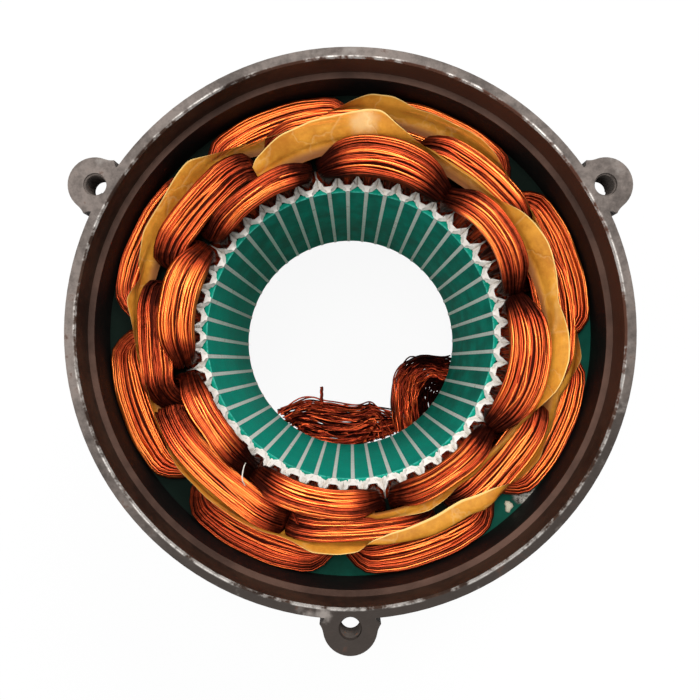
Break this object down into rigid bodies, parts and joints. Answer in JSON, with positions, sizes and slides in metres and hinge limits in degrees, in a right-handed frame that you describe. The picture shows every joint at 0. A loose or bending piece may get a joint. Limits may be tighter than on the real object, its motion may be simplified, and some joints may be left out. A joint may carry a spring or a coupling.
{
  "type": "wound stator in a cast frame",
  "caption": "Open-ended cast frame with lugs on both rims, holding a green slotted core wound with three layers of copper coils, paper slot linings and amber phase films.",
  "frame": {"origin": "centre of the rear rim face, on the machine axis", "axes": "+Z along the machine axis out of the pictured front end, -Y towards the lug at the bottom of the picture"},
  "size_m": [0.251, 0.267, 0.274],
  "materials": {
    "cast_frame": "dark cast iron with turned, rust-stained rims",
    "core_paint": "green insulating enamel brushed over the laminations",
    "slot_paper": "off-white slot paper",
    "winding_copper": "varnished enamelled copper wire",
    "phase_film": "amber varnished film, creased"
  },
  "bodies": {
    "root": {"frame_barrel": "cast_frame", "front_rim": "cast_frame", "rear_rim": "cast_frame", "stator_core": "core_paint", "slot_liners": "slot_paper", "slot_strips": "slot_paper", "coil_a1": "winding_copper", "coil_a2": "winding_copper", "coil_a3": "winding_copper", "coil_a4": "winding_copper", "coil_a5": "winding_copper", "coil_a6": "winding_copper", "coil_a7": "winding_copper", "coil_a8": "winding_copper", "coil_b1": "winding_copper", "coil_b2": "winding_copper", "coil_b3": "winding_copper", "coil_b4": "winding_copper", "coil_b5": "winding_copper", "coil_b6": "winding_copper", "coil_b7": "winding_copper", "coil_b8": "winding_copper", "coil_c1": "winding_copper", "coil_c2": "winding_copper", "coil_c3": "winding_copper", "coil_c4": "winding_copper", "coil_c5": "winding_copper", "coil_c6": "winding_copper", "coil_c7": "winding_copper", "coil_c8": "winding_copper", "film_outer_front": "phase_film", "film_inner_front": "phase_film", "film_outer_rear": "phase_film", "film_inner_rear": "phase_film", "rear_lead_loop": "winding_copper", "rear_lead_bunch": "winding_copper"}
  },
  "joints": []
}
